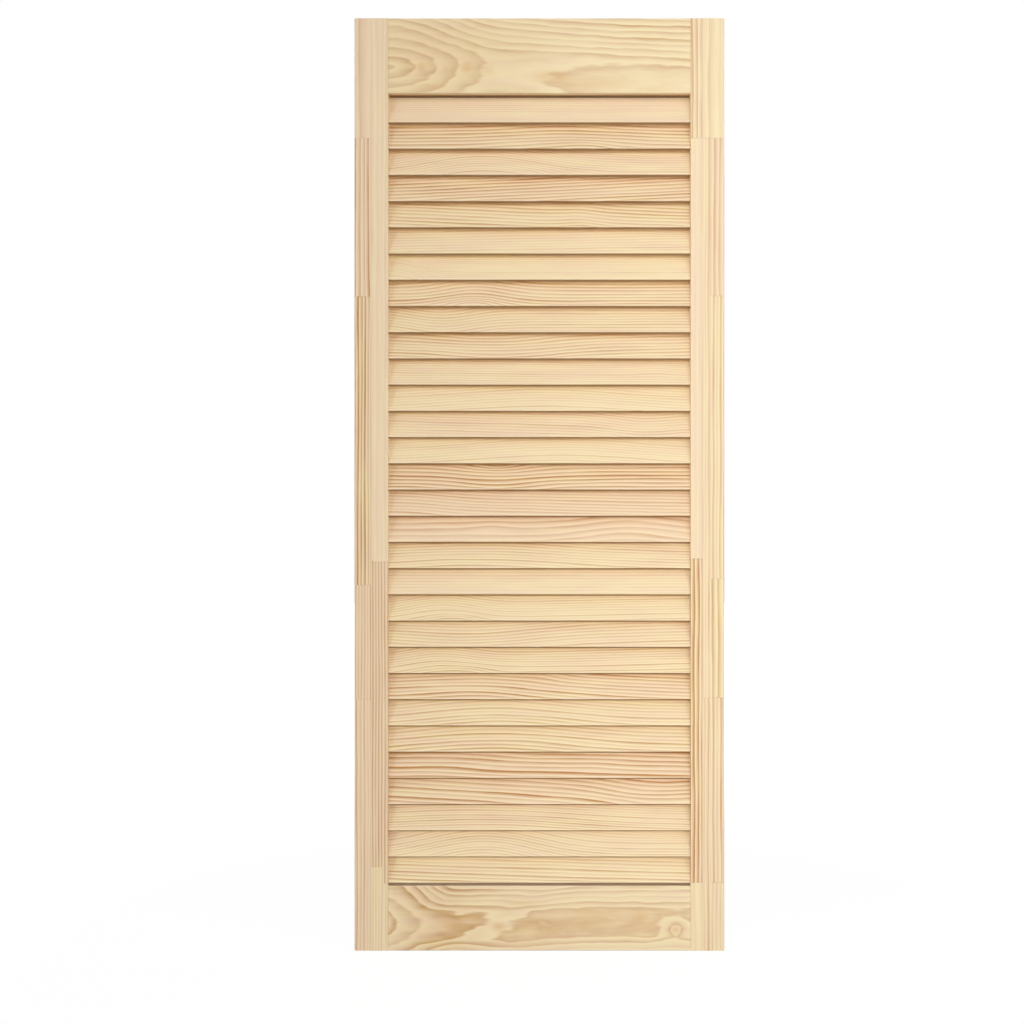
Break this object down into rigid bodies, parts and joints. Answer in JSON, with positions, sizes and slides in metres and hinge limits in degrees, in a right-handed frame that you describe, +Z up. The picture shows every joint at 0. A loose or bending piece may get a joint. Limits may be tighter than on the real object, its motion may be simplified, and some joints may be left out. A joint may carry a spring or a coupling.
{
  "type": "louvred cabinet door",
  "caption": "Pine cabinet door leaf with a doweled frame of stiles and rails around a full-height bank of fixed, tilted louvre slats with eased edges.",
  "frame": {"origin": "centre of the leaf's bottom edge, midway between front and back", "axes": "+Z up the leaf, +X to the right as seen from the front, +Y from the front face to the back face"},
  "size_m": [0.394, 0.02, 0.993],
  "materials": {
    "pine_frame": "raw sanded pine, glued up from finger-jointed strips",
    "pine_slat": "raw planed and sanded pine",
    "beech_dowel": "raw beech, fluted"
  },
  "bodies": {
    "root": {"left_stile": "pine_frame", "right_stile": "pine_frame", "top_rail": "pine_frame", "bottom_rail": "pine_frame", "slat_01": "pine_slat", "slat_02": "pine_slat", "slat_03": "pine_slat", "slat_04": "pine_slat", "slat_05": "pine_slat", "slat_06": "pine_slat", "slat_07": "pine_slat", "slat_08": "pine_slat", "slat_09": "pine_slat", "slat_10": "pine_slat", "slat_11": "pine_slat", "slat_12": "pine_slat", "slat_13": "pine_slat", "slat_14": "pine_slat", "slat_15": "pine_slat", "slat_16": "pine_slat", "slat_17": "pine_slat", "slat_18": "pine_slat", "slat_19": "pine_slat", "slat_20": "pine_slat", "slat_21": "pine_slat", "slat_22": "pine_slat", "slat_23": "pine_slat", "slat_24": "pine_slat", "slat_25": "pine_slat", "slat_26": "pine_slat", "slat_27": "pine_slat", "slat_28": "pine_slat", "slat_29": "pine_slat", "slat_30": "pine_slat", "top_left_dowels": "beech_dowel", "top_right_dowels": "beech_dowel", "bottom_left_dowels": "beech_dowel", "bottom_right_dowels": "beech_dowel"}
  },
  "joints": []
}
